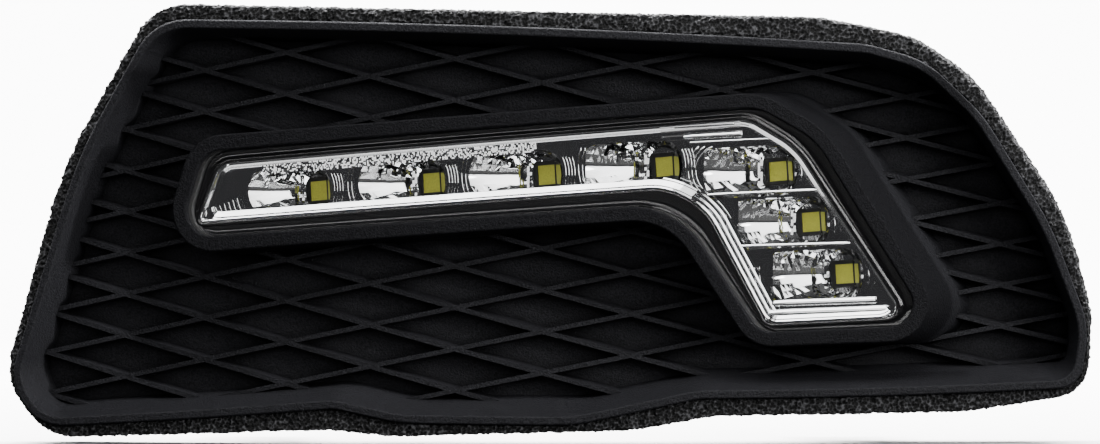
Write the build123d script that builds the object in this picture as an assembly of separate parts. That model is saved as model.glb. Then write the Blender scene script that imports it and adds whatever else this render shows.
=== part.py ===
from build123d import *
import math
import os

# A daytime running light for a car's front corner, in millimetres.
# X runs along the face to the outboard end, Y runs in from the face to the car, Z is up.
# The middle of the four rear posts' end plane is the origin.

# Face, lean and mount
FRONT_RADIUS = 900.0
LAMP_LEAN = 33.0
BASIN_LEAN = 13.0
BASIN_RISE = 4.0
MOUNT_DEPTH = 52.0

# Grille insert
BASIN_DRAFT = 14.5
COLLAR_DRAFT = 4.0
RIM_WIDTH = 2.8
RIB_DEPTH = 12.5
RIB_HEIGHT = 4.6
FLOOR_THICKNESS = 1.8
FLOOR_TURN = 0.8
RIB_THICKNESS = 1.4
RIB_PITCH = 12.6
FALLING_RIB = (-0.275, 1.6)
RISING_RIB = (0.20, 6.6)
RIB_FIELD = 115.0
COLLAR_WIDTH = 4.3
LIP_THICKNESS = 1.4
RIM_ROUND = 0.6
COLLAR_ROUND = 0.6
LEAST_ROUND = 0.5

# Foam strip round the rim
FOAM_FRONT = 1.2
FOAM_LENGTH = 9.0

# Rear posts of the insert
POST_SPACING_X = 180.0
POST_SPACING_Z = 88.0
POST_RADIUS = 4.6
POST_BORE_RADIUS = 1.6
POST_BORE_DEPTH = 14.0
POST_FIN = 1.6
POST_FIN_REACH = 8.0

# Lamp stack, as depths along the lamp's own axis behind the front face
SEAT_CLEARANCE = 0.3
LENS_MARGIN = 1.8
LENS_GAP = 0.2
LENS_THICKNESS = 1.8
SEAL_THICKNESS = 0.8
FRAME_THICKNESS = 1.8
FRAME_GAP = 0.8
HOUSING_WALL = 1.6
HOUSING_BACK = 34.0
LEDGE_WIDTH = 1.6
LEDGE_THICKNESS = 2.0
FIT = 0.15

# Reflector and its bowls
REFLECTOR_THICKNESS = 1.4
BOWL_WALL = 1.2
BOWL_DEPTH = 9.6
BOWL_REACH = 20.0
BOWL_CORNER = 5.0
BOWL_STEPS = 6
WINDOW_SIZE = 8.4
ROW_TILT = 3.9

# Light sources and their boards
LED_SIZE = 7.4
LED_HEIGHT = 1.4
PHOSPHOR_SIZE = 6.3
PHOSPHOR_DEPTH = 0.5
BOARD_WIDTH = 21.2
BOARD_HEIGHT = 12.0
BOARD_THICKNESS = 1.6
BOARD_SCREW_REACH = 8.6
BOARD_SCREW_RADIUS = 0.9
BOARD_BORE_CLEARANCE = 0.2
BOARD_HEAD_RADIUS = 1.5
BOARD_HEAD_HEIGHT = 1.0
BOARD_SCREW_LENGTH = 5.0

# Heat sink
PLATE_THICKNESS = 3.0
PEDESTAL_INSET = 0.5
FIN_THICKNESS = 1.6
FIN_PITCH = 8.0
FIN_HEIGHT = 7.0
FIN_MARGIN = 3.0
FIN_RANGE = (-52.0, 122.0)

# Ears and lamp screws
EAR_RADIUS = 4.8
EAR_THICKNESS = 2.5
EAR_OFFSET = 5.2
EAR_CLEARANCE = 0.4
BOSS_RADIUS = 4.0
SCREW_RADIUS = 1.5
SCREW_HEAD_RADIUS = 3.0
SCREW_HEAD_HEIGHT = 2.2
SCREW_LENGTH = 9.5
SCREW_TIP_GAP = 0.5

# Power inlet and vent
INLET_AT = (-80.0, 8.8)
INLET_PAD_MARGIN = 1.0
INLET_PAD_BACK = 38.5
INLET_FLANGE = (19.0, 17.0)
INLET_FLANGE_THICKNESS = 2.0
INLET_SHELL = (15.0, 13.0)
INLET_WALL = 1.4
INLET_LENGTH = 10.0
INLET_NECK = (9.0, 6.0)
INLET_FIT = 0.2
GASKET_THICKNESS = 1.0
PIN_SIZE = 1.2
PIN_SPACING = 4.0
PIN_REACH = 8.0
VENT_AT = (43.4, 18.5)
VENT_RADIUS = 4.5
VENT_HEIGHT = 3.5
VENT_STEM_RADIUS = 2.0
VENT_PAD_RADIUS = 6.0
VENT_PAD_HEIGHT = 1.0

# Driver board
DRIVER_AT = (-85.5, 7.3)
DRIVER_SIZE = (13.0, 17.0)
DRIVER_FRONT = 25.0
DRIVER_PEG_RADIUS = 2.0
DRIVER_PEG_INSET = 2.2
COIL_RADIUS = 3.2
COIL_HEIGHT = 4.5
CAPACITOR_RADIUS = 2.4
CAPACITOR_HEIGHT = 5.5
CHIP_SIZE = (5.0, 4.0, 1.5)
DIODE_SIZE = (4.4, 2.6, 2.2)
COIL_AT = (-2.9, 4.2)
CAPACITOR_AT = (-3.4, -4.8)
CHIP_AT = (3.0, -2.2)
DIODE_AT = (3.4, 2.4)

# Outlines as corners (x, z, rounding), anticlockwise seen from the front, on the flat face plane
RIM = [
    (-173.0, -50.0, 18), (-160.5, -67.2, 18), (-66.1, -57.2, 10), (-46.0, -61.1, 60),
    (7.1, -61.3, 40), (44.3, -53.8, 25), (161.2, -55.5, 11), (164.9, -32.5, 30),
    (152.4, -0.3, 90), (130.9, 33.5, 45), (112.9, 50.1, 30), (94.7, 54.8, 30),
    (-123.0, 63.1, 20), (-148.5, 21.1, 120),
]
FOAM = [
    (-171.0, -49.5, 18), (-156.5, -66.8, 18), (-68.0, -63.1, 10), (-47.8, -65.0, 14),
    (25.7, -62.9, 25), (47.7, -58.8, 25), (123.9, -58.4, 40), (159.6, -53.5, 10),
    (161.1, -29.7, 25), (153.3, 1.2, 80), (125.6, 43.0, 40), (107.7, 55.6, 30),
    (79.2, 61.4, 30), (-122.5, 65.5, 18), (-151.4, 16.8, 120),
]
OPENING = [
    (-117.8, -5.0, 8), (36.5, 5.5, 24), (61.0, -33.2, 7), (109.5, -31.0, 7),
    (77.0, 24.8, 22), (60.5, 34.5, 14), (-109.1, 21.2, 9),
]
CHROME = [
    (-113.6, -0.4, 1.5), (40.2, 10.8, 20), (61.5, -30.8, 3), (101.5, -28.8, 4),
    (70.0, 22.5, 20), (56.0, 31.2, 8), (-106.5, 17.8, 6),
]

# Light sources as (x, z) on the flat face plane
LEDS = [
    (-81.3, 9.5), (-45.3, 11.9), (-9.7, 14.3), (25.8, 16.8),
    (59.4, 15.4), (69.0, 0.0), (78.7, -15.8),
]

# Bowls as (focal length, half height), one for each light source
BOWLS = [
    (2.5, 6.6), (2.55, 6.9), (2.7, 7.1), (2.95, 7.5),
    (3.0, 7.6), (2.85, 7.6), (2.9, 7.6),
]

# Ears as (x on the face plane, side of the outline)
EARS = [(-75.0, 1), (-75.0, -1), (30.0, 1), (85.0, -1)]

# Values that follow from the sizes above
LEAN = math.radians(LAMP_LEAN)
DRAW = Vector(math.sin(LEAN), math.cos(LEAN), 0)
LENS_FRONT = LIP_THICKNESS + LENS_GAP
LENS_BACK = LENS_FRONT + LENS_THICKNESS
HOUSING_FRONT = LENS_BACK + SEAL_THICKNESS
FRAME_FRONT = LENS_BACK + FRAME_GAP
FRAME_BACK = FRAME_FRONT + FRAME_THICKNESS
REFLECTOR_BACK = FRAME_BACK + REFLECTOR_THICKNESS
LED_DEPTH = FRAME_BACK + BOWL_DEPTH
PLATE_BACK = HOUSING_BACK + PLATE_THICKNESS
FLOOR_FRONT = RIB_DEPTH + RIB_HEIGHT
FLOOR_MIDDLE = FLOOR_FRONT + FLOOR_THICKNESS / 2
FLOOR_BACK = FLOOR_FRONT + FLOOR_THICKNESS
PLATE_MIDDLE = HOUSING_BACK + PLATE_THICKNESS / 2

# Lengths of the blanks that the pieces are cut from
BIG = 300.0
REACH = 45.0
AHEAD = 3.0
PROBE = 0.01


def grown(corners, distance):
    """Moves every side of a rounded outline outwards by a distance."""
    result = []
    count = len(corners)
    for index, (x, z, radius) in enumerate(corners):
        before = corners[index - 1]
        after = corners[(index + 1) % count]
        first = Vector(x - before[0], z - before[1]).normalized()
        second = Vector(after[0] - x, after[1] - z).normalized()
        turn = first.X * second.Y - first.Y * second.X
        cosine = first.X * second.X + first.Y * second.Y
        outward = Vector(first.Y + second.Y, -first.X - second.X) * (distance / (1 + cosine))
        rounding = radius + distance if turn > 0 else radius - distance
        result.append((x + outward.X, z + outward.Y, max(rounding, LEAST_ROUND)))
    return result


def outline_face(corners, shift=Vector(0, 0, 0)):
    """Makes the flat face of a rounded outline, moved from the face plane."""
    points = [(x, z) for x, z, radius in corners]
    radii = [radius for x, z, radius in corners]
    flat = make_face(FilletPolyline(*points, radius=radii, close=True))
    return (Plane.XZ * flat).face().moved(Location(shift))


def prism(corners, front=-REACH, back=2 * REACH):
    """Runs an outline along the lamp's axis."""
    return extrude(outline_face(corners, DRAW * front), amount=back - front, dir=DRAW)


def tapered(corners, lean, rise, draft, front=-AHEAD, back=REACH):
    """Runs an outline in from the face with a lean, a rise and a draft on all its sides."""
    faces = []
    for depth in (front, back):
        inset = depth * math.tan(math.radians(draft))
        aside = depth * math.tan(math.radians(lean))
        above = depth * math.tan(math.radians(rise))
        shift = Vector(aside, depth, above)
        faces.append(outline_face(grown(corners, -inset), shift))
    return loft(faces, ruled=True)


def behind(shift, turn=0.0):
    """Makes the space behind the bowed front face, moved and turned."""
    return Location(shift) * Rot(0, 0, turn) * Pos(0, FRONT_RADIUS, 0) * Cylinder(FRONT_RADIUS, BIG)


def behind_lamp(depth):
    """Makes the space behind the front face at a depth along the lamp's axis."""
    return behind(DRAW * depth)


def behind_basin(depth):
    """Makes the space behind the basin's turned floor at a depth in from the face."""
    return behind(Vector(0, depth, 0), FLOOR_TURN)


def lamp_slab(corners, front, back):
    """Makes a bowed plate of the lamp between two depths."""
    return prism(corners) & behind_lamp(front) - behind_lamp(back)


def lamp_ring(outer, inner, front, back):
    """Makes a bowed ring of the lamp between two outlines and two depths."""
    return lamp_slab(outer, front, back) - prism(inner)


def lamp_point(x, z, depth):
    """Finds the point at a depth along the lamp's axis behind a spot of the front face."""
    base = FRONT_RADIUS * DRAW.Y - x * DRAW.X
    run = base - math.sqrt(base * base - x * x) + depth
    return Vector(x + run * DRAW.X, run * DRAW.Y, z)


def bow_depth(x, depth):
    """Finds Y of the bowed face at a true X, at a depth along the lamp's axis."""
    aside = x - depth * DRAW.X
    return FRONT_RADIUS + depth * DRAW.Y - math.sqrt(FRONT_RADIUS ** 2 - aside ** 2)


def rod(x, z, front, back, radius):
    """Makes a round bar along Y."""
    return Pos(x, (front + back) / 2, z) * Rot(90, 0, 0) * Cylinder(radius, back - front)


def block(x, z, front, back, width, height):
    """Makes a square bar along Y."""
    return Pos(x, (front + back) / 2, z) * Box(width, back - front, height)


def led_frame(index):
    """Gives the place of one light source, with Y along the lamp's axis and X along the row."""
    x, z = LEDS[index]
    return Location(lamp_point(x, z, LED_DEPTH)) * Rot(0, 0, -LAMP_LEAN) * Rot(0, -ROW_TILT, 0)


def outline_edge(corners, x, side):
    """Finds the height of an outline's top or bottom side at one X."""
    column = Pos(x, 0, 0) * Box(PROBE, AHEAD, BIG)
    box = (prism(corners, 0, PROBE) & column).bounding_box()
    return box.max.Z if side > 0 else box.min.Z


LENS_OUTLINE = grown(OPENING, LENS_MARGIN)
SEAT_OUTLINE = grown(LENS_OUTLINE, SEAT_CLEARANCE)
HOUSING_INSIDE = grown(LENS_OUTLINE, -HOUSING_WALL)
FITTED_OUTLINE = grown(HOUSING_INSIDE, -FIT)
LEDGE_INSIDE = grown(HOUSING_INSIDE, -LEDGE_WIDTH)


def ear_places():
    """Lists each ear's X and Z, the Y where its two halves meet and its side of the outline."""
    places = []
    for x, side in EARS:
        edge = outline_edge(LENS_OUTLINE, x, side) + side * EAR_OFFSET
        spot = lamp_point(x, edge, HOUSING_BACK)
        places.append((spot.X, spot.Z, spot.Y, side))
    return places


EAR_PLACES = ear_places()


def ear_tab(x, z, front, back, side):
    """Makes one ear with the web that joins it to the lamp's wall."""
    web_height = EAR_OFFSET + HOUSING_WALL
    web = block(x, z - side * web_height / 2, front, back, 2 * EAR_RADIUS, web_height)
    return rod(x, z, front, back, EAR_RADIUS) + web


def front_edges(solid):
    """Finds the edges of the bowed face that stands furthest forward."""
    bowed = solid.faces().filter_by(GeomType.CYLINDER)
    return bowed.sort_by(lambda face: face.bounding_box().min.Y)[0].edges()


def basin_blank(margin):
    """Makes the drafted block inside the rim's outline, grown by a margin."""
    return tapered(grown(RIM, margin), BASIN_LEAN, BASIN_RISE, BASIN_DRAFT)


def make_ribs():
    """Makes the two crossing families of ribs, from the rib fronts into the floor."""
    bars = []
    half_count = math.ceil(RIB_FIELD / RIB_PITCH)
    for slope, start in (FALLING_RIB, RISING_RIB):
        angle = math.degrees(math.atan(slope))
        bar = Rot(0, 0, angle) * Rectangle(4 * RIB_FIELD, RIB_THICKNESS)
        for step in range(-half_count, half_count + 1):
            bars.append(Pos(0, start + step * RIB_PITCH) * bar)
    points = [(x, z) for x, z, radius in grown(RIM, RIB_PITCH)]
    ribs = Sketch() + bars & make_face(Polyline(*points, close=True))
    grid = extrude((Plane.XZ * ribs).moved(Location(DRAW * -REACH)), amount=3 * REACH, dir=DRAW)
    return grid & behind_basin(RIB_DEPTH) - behind_basin(FLOOR_MIDDLE)


def make_basin():
    """Makes the rim, the sloped walls, the floor and the ribs, open where the lamp goes."""
    basin = basin_blank(0) & behind(Vector(0, 0, 0)) - behind_basin(FLOOR_BACK)
    basin -= basin_blank(-RIM_WIDTH) - behind_basin(FLOOR_FRONT)
    basin = fillet(front_edges(basin), RIM_ROUND)
    basin += make_ribs() & basin_blank(-RIM_WIDTH / 2)
    collar_middle = (LENS_MARGIN + SEAT_CLEARANCE + COLLAR_WIDTH) / 2
    return basin - prism(grown(OPENING, collar_middle))


def make_collar():
    """Makes the raised collar whose rounded lip holds the lens from the front."""
    collar = tapered(grown(OPENING, COLLAR_WIDTH), LAMP_LEAN, 0.0, -COLLAR_DRAFT)
    collar = collar & behind(Vector(0, 0, 0)) - behind_basin(FLOOR_BACK)
    collar -= prism(OPENING)
    collar = fillet(front_edges(collar), COLLAR_ROUND)
    return collar - (prism(SEAT_OUTLINE) & behind_lamp(LIP_THICKNESS))


def make_post(x, z):
    """Makes one rear post with its two fins and its blind screw hole."""
    post = rod(x, z, RIB_DEPTH, MOUNT_DEPTH, POST_RADIUS)
    fin_back = MOUNT_DEPTH - POST_BORE_DEPTH
    post += block(x, z, RIB_DEPTH, fin_back, 2 * POST_FIN_REACH, POST_FIN)
    post += block(x, z, RIB_DEPTH, fin_back, POST_FIN, 2 * POST_FIN_REACH)
    post = post & behind_basin(FLOOR_MIDDLE)
    return post - rod(x, z, fin_back, MOUNT_DEPTH, POST_BORE_RADIUS)


def make_grille_insert():
    """Moulds basin, collar, lamp screw bosses and rear posts in one piece."""
    added = [make_collar()]
    bores = []
    engaged = SCREW_LENGTH - 2 * EAR_THICKNESS
    for x, z, middle, side in EAR_PLACES:
        top = middle - EAR_THICKNESS
        added.append(rod(x, z, RIB_DEPTH, top, BOSS_RADIUS) & behind_basin(FLOOR_MIDDLE))
        bores.append(rod(x, z, top - engaged - SCREW_TIP_GAP, top, SCREW_RADIUS))
    for x in (-POST_SPACING_X / 2, POST_SPACING_X / 2):
        for z in (-POST_SPACING_Z / 2, POST_SPACING_Z / 2):
            added.append(make_post(x, z))
    return make_basin() + added - bores


def make_foam_seal():
    """Makes the foam strip that wraps the rim's outside."""
    strip = tapered(FOAM, BASIN_LEAN, BASIN_RISE, 0.0)
    strip = strip & behind(Vector(0, FOAM_FRONT, 0)) - behind(Vector(0, FOAM_FRONT + FOAM_LENGTH, 0))
    return strip - basin_blank(0)


def make_lens():
    """Makes the clear cover that sits behind the collar's lip."""
    return lamp_slab(LENS_OUTLINE, LENS_FRONT, LENS_BACK)


def make_lens_seal():
    """Makes the bead that bonds the lens to the housing."""
    return lamp_ring(LENS_OUTLINE, HOUSING_INSIDE, LENS_BACK, HOUSING_FRONT)


def make_inner_frame():
    """Makes the black frame between the lens and the reflector."""
    return lamp_ring(FITTED_OUTLINE, CHROME, FRAME_FRONT, FRAME_BACK)


def bowl_profile(index, wall):
    """Makes the solid of one bowl about its light source's axis, grown by a wall."""
    focus, half_height = BOWLS[index]
    points = []
    for step in range(BOWL_STEPS + 1):
        reach = (BOWL_REACH + wall) * step / BOWL_STEPS - wall
        points.append((2 * math.sqrt(focus * (reach + focus)) + wall, -reach))
    curve = Spline(*points)
    sides = Polyline(points[-1], (0, -BOWL_REACH), (0, wall), points[0])
    bowl = revolve(make_face(curve + sides), Axis.Y)
    slant = 2 * focus * math.tan(LEAN)
    middle = math.sqrt(slant ** 2 + 4 * focus * (BOWL_DEPTH + focus))
    mouth = RectangleRounded(2 * (middle + wall), 2 * (half_height + wall), BOWL_CORNER + wall)
    return bowl & extrude(Plane.XZ * (Pos(-slant, 0) * mouth), amount=BOWL_REACH + wall, both=True)


def make_reflector():
    """Moulds the bright plate with a bowl and a square window at each light source."""
    plate = lamp_slab(FITTED_OUTLINE, FRAME_BACK, REFLECTOR_BACK)
    window = Box(WINDOW_SIZE, 4 * BOWL_WALL, WINDOW_SIZE)
    space = prism(LEDGE_INSIDE) & behind_lamp(FRAME_BACK)
    cups = []
    hollows = []
    for index in range(len(LEDS)):
        place = led_frame(index)
        cups.append(place * bowl_profile(index, BOWL_WALL) & space)
        hollows.append(place * (bowl_profile(index, 0.0) + window))
    return plate + cups - hollows


def make_lamp_housing():
    """Moulds the lamp's side wall with its inner ledge and its ears."""
    tabs = []
    hollows = [
        prism(LENS_OUTLINE) & behind_lamp(HOUSING_BACK),
        prism(LEDGE_INSIDE),
        prism(HOUSING_INSIDE) - behind_lamp(REFLECTOR_BACK),
        prism(HOUSING_INSIDE) & behind_lamp(REFLECTOR_BACK + LEDGE_THICKNESS),
    ]
    for x, z, middle, side in EAR_PLACES:
        tabs.append(ear_tab(x, z, middle - EAR_THICKNESS, middle, side))
        hollows.append(rod(x, z, middle - EAR_THICKNESS, middle, SCREW_RADIUS + EAR_CLEARANCE))
    return lamp_slab(LENS_OUTLINE, HOUSING_FRONT, HOUSING_BACK) + tabs - hollows


def board_screw_places():
    """Lists the two screw places of a board in its own frame."""
    return [-BOARD_SCREW_REACH, BOARD_SCREW_REACH]


def make_led_board(index):
    """Makes one small circuit board behind a bowl."""
    front = LED_HEIGHT
    back = LED_HEIGHT + BOARD_THICKNESS
    board = block(0, 0, front, back, BOARD_WIDTH, BOARD_HEIGHT)
    for x in board_screw_places():
        board -= rod(x, 0, front, back, BOARD_SCREW_RADIUS + BOARD_BORE_CLEARANCE)
    return led_frame(index) * board


def make_led_body(index):
    """Makes one light source's package with the pocket for its phosphor."""
    body = block(0, 0, 0, LED_HEIGHT, LED_SIZE, LED_SIZE)
    body -= block(0, 0, 0, PHOSPHOR_DEPTH, PHOSPHOR_SIZE, PHOSPHOR_SIZE)
    return led_frame(index) * body


def make_led_phosphor(index):
    """Makes the phosphor fill of one light source."""
    return led_frame(index) * block(0, 0, 0, PHOSPHOR_DEPTH, PHOSPHOR_SIZE, PHOSPHOR_SIZE)


def make_board_screw(x):
    """Makes one small screw of a board in the board's own frame."""
    head_back = LED_HEIGHT
    head = rod(x, 0, head_back - BOARD_HEAD_HEIGHT, head_back, BOARD_HEAD_RADIUS)
    return head + rod(x, 0, head_back, head_back + BOARD_SCREW_LENGTH, BOARD_SCREW_RADIUS)


def make_board_screws():
    """Makes the screws of all light source boards."""
    screws = []
    for index in range(len(LEDS)):
        for x in board_screw_places():
            screws.append(led_frame(index) * make_board_screw(x))
    return Compound(screws)


def driver_peg_places():
    """Lists the two places where the driver board stands on its pegs."""
    aside = DRIVER_SIZE[0] / 2 - DRIVER_PEG_INSET
    above = DRIVER_SIZE[1] / 2 - DRIVER_PEG_INSET
    x, z = DRIVER_AT
    return [(x + aside, z - above), (x + aside, z + above)]


def make_heat_sink():
    """Casts the rear plate with its board pedestals, fins, ears, pads and driver pegs."""
    tabs = []
    bores = []
    for x, z, middle, side in EAR_PLACES:
        tabs.append(ear_tab(x, z, middle, middle + EAR_THICKNESS, side))
        bores.append(rod(x, z, middle, middle + EAR_THICKNESS, SCREW_RADIUS + EAR_CLEARANCE))
    sink = lamp_slab(LENS_OUTLINE, HOUSING_BACK, PLATE_BACK) + tabs
    sink -= prism(LENS_OUTLINE) - behind_lamp(HOUSING_BACK)
    pad = (INLET_FLANGE[0] + 2 * INLET_PAD_MARGIN, INLET_FLANGE[1] + 2 * INLET_PAD_MARGIN)
    pad_front = bow_depth(INLET_AT[0], PLATE_MIDDLE)
    inlet_pad = block(*INLET_AT, pad_front, INLET_PAD_BACK, *pad) & prism(LENS_OUTLINE)
    neck = (INLET_NECK[0] + 2 * INLET_FIT, INLET_NECK[1] + 2 * INLET_FIT)
    bores.append(block(*INLET_AT, bow_depth(INLET_AT[0], 0), INLET_PAD_BACK, *neck))
    spot = vent_spot()
    vent_pad = rod(spot.X, spot.Z, bow_depth(spot.X, PLATE_MIDDLE), spot.Y, VENT_PAD_RADIUS)
    bores.append(rod(spot.X, spot.Z, bow_depth(spot.X, 0), spot.Y, VENT_STEM_RADIUS))
    pegs = []
    for x, z in driver_peg_places():
        peg_front = DRIVER_FRONT + BOARD_THICKNESS
        bore_back = DRIVER_FRONT + BOARD_SCREW_LENGTH + SCREW_TIP_GAP
        pegs.append(rod(x, z, peg_front, bow_depth(x, PLATE_MIDDLE), DRIVER_PEG_RADIUS))
        bores.append(rod(x, z, peg_front, bore_back, BOARD_SCREW_RADIUS))
    return sink + make_pedestals() + make_fins() + [inlet_pad, vent_pad] + pegs - bores


def make_pedestals():
    """Makes the stepped pedestals that carry the light sources' boards."""
    board_back = LED_HEIGHT + BOARD_THICKNESS
    pedestal = block(0, 0, board_back, 2 * REACH, BOARD_WIDTH - 2 * PEDESTAL_INSET, BOARD_HEIGHT)
    bore_back = LED_HEIGHT + BOARD_SCREW_LENGTH + SCREW_TIP_GAP
    for x in board_screw_places():
        pedestal -= rod(x, 0, board_back, bore_back, BOARD_SCREW_RADIUS)
    space = prism(grown(HOUSING_INSIDE, -PEDESTAL_INSET)) - behind_lamp(PLATE_MIDDLE)
    return [(led_frame(index) * pedestal) & space for index in range(len(LEDS))]


def make_fins():
    """Makes the upright fins on the heat sink's rear, clear of the vent."""
    spot = vent_spot()
    around_vent = VENT_PAD_RADIUS + FIN_THICKNESS
    clear = rod(spot.X, spot.Z, bow_depth(spot.X, PLATE_BACK), 2 * REACH, around_vent)
    space = prism(grown(LENS_OUTLINE, -FIN_MARGIN)) & behind_lamp(PLATE_MIDDLE)
    space = space - behind_lamp(PLATE_BACK + FIN_HEIGHT) - clear
    fins = []
    count = int((FIN_RANGE[1] - FIN_RANGE[0]) / FIN_PITCH) + 1
    for step in range(count):
        x = FIN_RANGE[0] + step * FIN_PITCH
        fins.append(Pos(x, REACH, 0) * Box(FIN_THICKNESS, 2 * REACH, BIG) & space)
    return fins


def vent_spot():
    """Finds the middle of the vent's flat pad."""
    spot = lamp_point(*VENT_AT, PLATE_BACK)
    return Vector(spot.X, spot.Y + VENT_PAD_HEIGHT, spot.Z)


def make_vent_plug():
    """Makes the breather plug with its stem through the plate."""
    spot = vent_spot()
    stem_front = bow_depth(spot.X, HOUSING_BACK)
    plug = rod(spot.X, spot.Z, stem_front, spot.Y, VENT_STEM_RADIUS)
    return plug + rod(spot.X, spot.Z, spot.Y, spot.Y + VENT_HEIGHT, VENT_RADIUS)


def make_inlet_gasket():
    """Makes the flat gasket under the inlet's flange."""
    back = INLET_PAD_BACK + GASKET_THICKNESS
    neck = (INLET_NECK[0] + 2 * INLET_FIT, INLET_NECK[1] + 2 * INLET_FIT)
    gasket = block(*INLET_AT, INLET_PAD_BACK, back, *INLET_FLANGE)
    return gasket - block(*INLET_AT, INLET_PAD_BACK, back, *neck)


def pin_places():
    """Lists the two contact pins' places."""
    x, z = INLET_AT
    return [(x, z - PIN_SPACING / 2), (x, z + PIN_SPACING / 2)]


def make_inlet_socket():
    """Moulds the two-pole power inlet with its neck, flange and open shell."""
    seat = INLET_PAD_BACK + GASKET_THICKNESS
    floor = seat + INLET_FLANGE_THICKNESS
    socket = block(*INLET_AT, seat, floor, *INLET_FLANGE)
    socket += block(*INLET_AT, seat, floor + INLET_LENGTH, *INLET_SHELL)
    socket += block(*INLET_AT, bow_depth(INLET_AT[0], HOUSING_BACK), seat, *INLET_NECK)
    inside = (INLET_SHELL[0] - 2 * INLET_WALL, INLET_SHELL[1] - 2 * INLET_WALL)
    socket -= block(*INLET_AT, floor, floor + INLET_LENGTH, *inside)
    for x, z in pin_places():
        socket -= block(x, z, 0, floor, PIN_SIZE, PIN_SIZE)
    return socket


def make_inlet_pins():
    """Makes the two contact pins from the driver board to the inlet."""
    front = DRIVER_FRONT + BOARD_THICKNESS
    back = INLET_PAD_BACK + GASKET_THICKNESS + INLET_FLANGE_THICKNESS + PIN_REACH
    return Compound([block(x, z, front, back, PIN_SIZE, PIN_SIZE) for x, z in pin_places()])


def make_driver_board():
    """Makes the driver's circuit board on its two pegs."""
    back = DRIVER_FRONT + BOARD_THICKNESS
    board = block(*DRIVER_AT, DRIVER_FRONT, back, *DRIVER_SIZE)
    for x, z in driver_peg_places():
        board -= rod(x, z, DRIVER_FRONT, back, BOARD_SCREW_RADIUS + BOARD_BORE_CLEARANCE)
    return board


def on_driver(offset):
    """Finds a place on the driver board from its middle."""
    return (DRIVER_AT[0] + offset[0], DRIVER_AT[1] + offset[1])


def make_driver_screws():
    """Makes the two screws that hold the driver board on its pegs."""
    screws = []
    for x, z in driver_peg_places():
        screws.append(Pos(x, DRIVER_FRONT - LED_HEIGHT, z) * make_board_screw(0))
    return Compound(screws)


def make_driver_coil():
    """Makes the driver's coil."""
    return rod(*on_driver(COIL_AT), DRIVER_FRONT - COIL_HEIGHT, DRIVER_FRONT, COIL_RADIUS)


def make_driver_capacitor():
    """Makes the driver's capacitor."""
    front = DRIVER_FRONT - CAPACITOR_HEIGHT
    return rod(*on_driver(CAPACITOR_AT), front, DRIVER_FRONT, CAPACITOR_RADIUS)


def make_driver_chip():
    """Makes the driver's control chip."""
    width, height, thickness = CHIP_SIZE
    return block(*on_driver(CHIP_AT), DRIVER_FRONT - thickness, DRIVER_FRONT, width, height)


def make_driver_diode():
    """Makes the driver's rectifier."""
    width, height, thickness = DIODE_SIZE
    return block(*on_driver(DIODE_AT), DRIVER_FRONT - thickness, DRIVER_FRONT, width, height)


def make_lamp_screws():
    """Makes the screws that clamp heat sink and housing to the insert's bosses."""
    screws = []
    for x, z, middle, side in EAR_PLACES:
        seat = middle + EAR_THICKNESS
        head = rod(x, z, seat, seat + SCREW_HEAD_HEIGHT, SCREW_HEAD_RADIUS)
        screws.append(head + rod(x, z, seat - SCREW_LENGTH, seat, SCREW_RADIUS))
    return Compound(screws)


NODES = {
    "grille_insert": make_grille_insert(),
    "foam_seal": make_foam_seal(),
    "lens": make_lens(),
    "lens_seal": make_lens_seal(),
    "inner_frame": make_inner_frame(),
    "reflector": make_reflector(),
    "lamp_housing": make_lamp_housing(),
    "heat_sink": make_heat_sink(),
    "board_screws": make_board_screws(),
    "lamp_screws": make_lamp_screws(),
    "vent_plug": make_vent_plug(),
    "inlet_gasket": make_inlet_gasket(),
    "inlet_socket": make_inlet_socket(),
    "inlet_pins": make_inlet_pins(),
    "driver_board": make_driver_board(),
    "driver_screws": make_driver_screws(),
    "driver_coil": make_driver_coil(),
    "driver_capacitor": make_driver_capacitor(),
    "driver_chip": make_driver_chip(),
    "driver_diode": make_driver_diode(),
}
for index in range(len(LEDS)):
    NODES[f"led_board_{index + 1}"] = make_led_board(index)
    NODES[f"led_body_{index + 1}"] = make_led_body(index)
    NODES[f"led_phosphor_{index + 1}"] = make_led_phosphor(index)

os.makedirs("parts", exist_ok=True)
for name, solid in NODES.items():
    export_step(solid.moved(Location((0, -MOUNT_DEPTH, 0))), f"parts/{name}.step")
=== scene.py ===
import math
import random

import bmesh
import bpy
from bpy.props import FloatProperty, FloatVectorProperty, IntProperty, PointerProperty
from mathutils import Matrix, Vector


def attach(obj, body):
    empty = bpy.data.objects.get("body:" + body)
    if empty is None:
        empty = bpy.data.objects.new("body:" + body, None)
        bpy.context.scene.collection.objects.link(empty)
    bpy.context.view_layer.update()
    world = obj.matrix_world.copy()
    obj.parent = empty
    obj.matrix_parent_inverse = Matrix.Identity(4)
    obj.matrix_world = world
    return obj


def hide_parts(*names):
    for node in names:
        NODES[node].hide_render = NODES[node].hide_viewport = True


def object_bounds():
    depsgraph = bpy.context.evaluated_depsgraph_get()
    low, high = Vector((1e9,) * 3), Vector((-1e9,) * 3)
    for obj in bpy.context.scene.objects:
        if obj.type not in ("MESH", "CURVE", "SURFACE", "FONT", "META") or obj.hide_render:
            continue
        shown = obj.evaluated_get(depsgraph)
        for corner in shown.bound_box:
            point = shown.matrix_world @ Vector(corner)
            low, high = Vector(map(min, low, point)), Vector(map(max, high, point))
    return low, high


bl_info = {
    "name": "Daytime Running Light",
    "version": (1, 0, 0),
    "blender": (4, 5, 0),
    "location": "View3D > Sidebar > Running Light",
    "description": "Dresses the packed daytime running light with its finishes and fine shapes",
    "category": "Object",
}

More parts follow.
